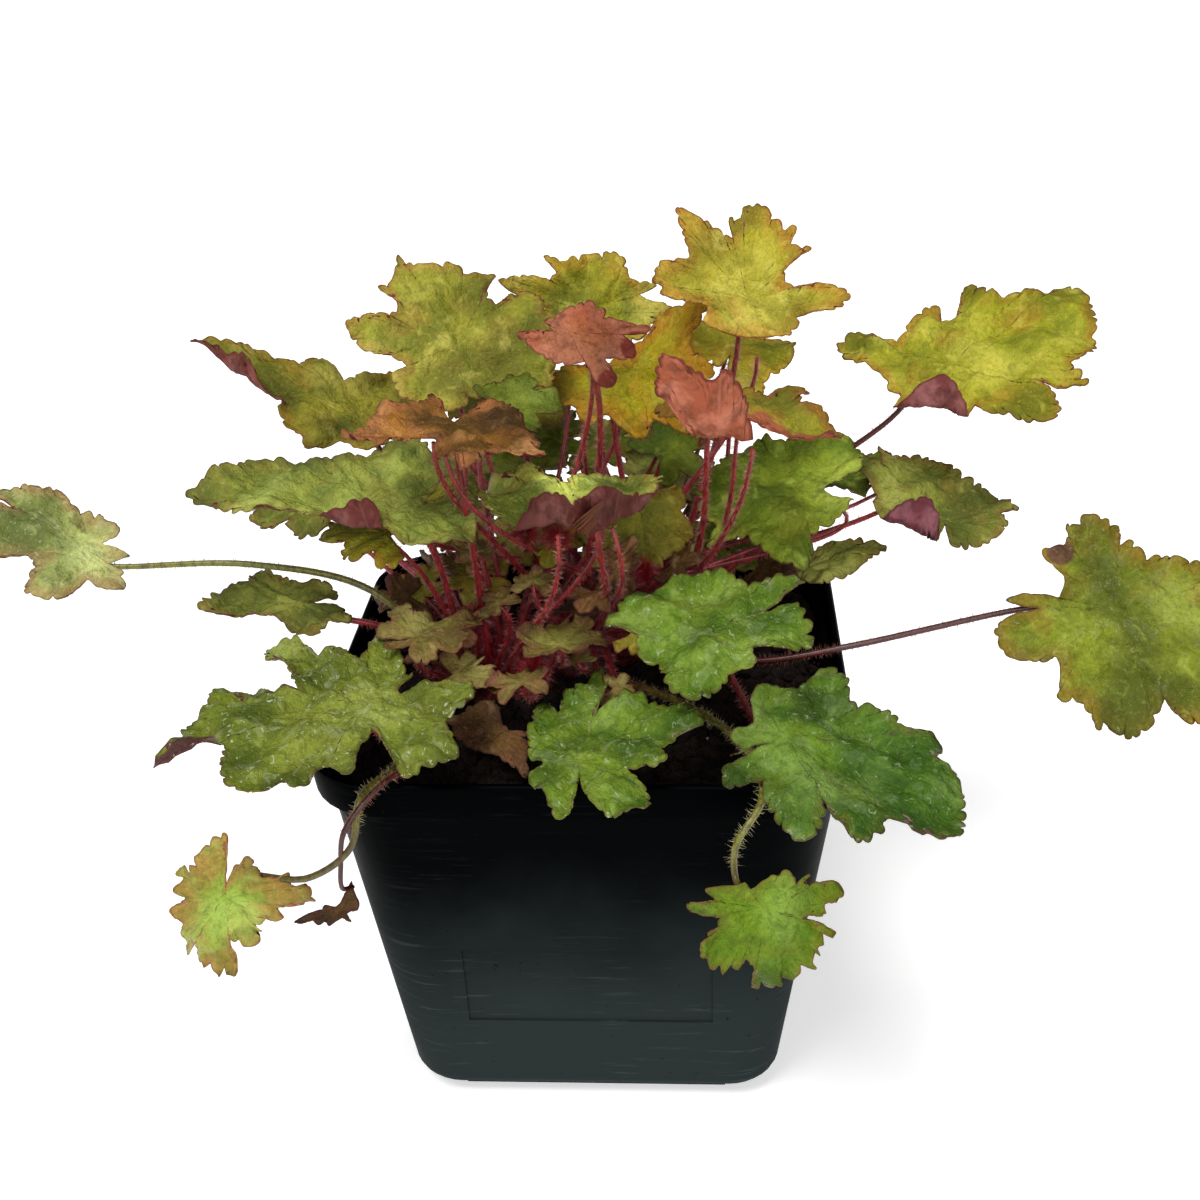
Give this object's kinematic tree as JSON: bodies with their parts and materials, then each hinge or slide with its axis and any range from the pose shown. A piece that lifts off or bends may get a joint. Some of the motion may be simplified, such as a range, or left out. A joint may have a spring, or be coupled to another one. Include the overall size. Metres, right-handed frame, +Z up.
{
  "type": "heuchera plant in a nursery pot",
  "caption": "Clump of lobed, round-toothed leaves on thin hairy stalks that rise from a short crown, rooted in a tapered square nursery pot.",
  "frame": {"origin": "on the surface that the pot stands on, under the middle of the pot", "axes": "+Z up; the pot's front wall, with the plain sunken field, faces -Y; +X to the right when facing it"},
  "size_m": [0.2999, 0.1957, 0.2008],
  "materials": {
    "pot_plastic": "satin black plastic, dusty and scuffed",
    "potting_mix": "moist dark crumbs",
    "crown_and_stalks": "red, hairy",
    "leaf_lime": "soft satin, finely puckered",
    "leaf_green": "soft satin, finely puckered",
    "leaf_amber": "soft satin, finely puckered",
    "leaf_red": "soft satin, finely puckered",
    "leaf_withered": "dry and dull"
  },
  "bodies": {
    "root": {"pot": "pot_plastic", "soil": "potting_mix", "crown_with_stalks": "crown_and_stalks", "leaf_01": "leaf_lime", "leaf_02": "leaf_green", "leaf_03": "leaf_lime", "leaf_04": "leaf_red", "leaf_05": "leaf_lime", "leaf_06": "leaf_red", "leaf_07": "leaf_amber", "leaf_08": "leaf_lime", "leaf_09": "leaf_amber", "leaf_10": "leaf_green", "leaf_11": "leaf_lime", "leaf_12": "leaf_lime", "leaf_13": "leaf_green", "leaf_14": "leaf_green", "leaf_15": "leaf_green", "leaf_16": "leaf_lime", "leaf_17": "leaf_green", "leaf_18": "leaf_green", "leaf_19": "leaf_green", "leaf_20": "leaf_green", "leaf_21": "leaf_lime", "leaf_22": "leaf_green", "leaf_23": "leaf_green", "leaf_24": "leaf_green", "leaf_25": "leaf_green", "leaf_26": "leaf_green", "leaf_27": "leaf_lime", "leaf_28": "leaf_lime", "leaf_29": "leaf_green", "leaf_30": "leaf_green", "leaf_31": "leaf_amber", "leaf_32": "leaf_green", "leaf_33": "leaf_withered", "leaf_34": "leaf_withered", "leaf_35": "leaf_withered", "leaf_36": "leaf_withered", "leaf_37": "leaf_withered", "leaf_38": "leaf_green", "leaf_39": "leaf_lime", "leaf_40": "leaf_green", "leaf_41": "leaf_green", "leaf_42": "leaf_lime", "leaf_43": "leaf_green", "leaf_44": "leaf_green"}
  },
  "joints": []
}
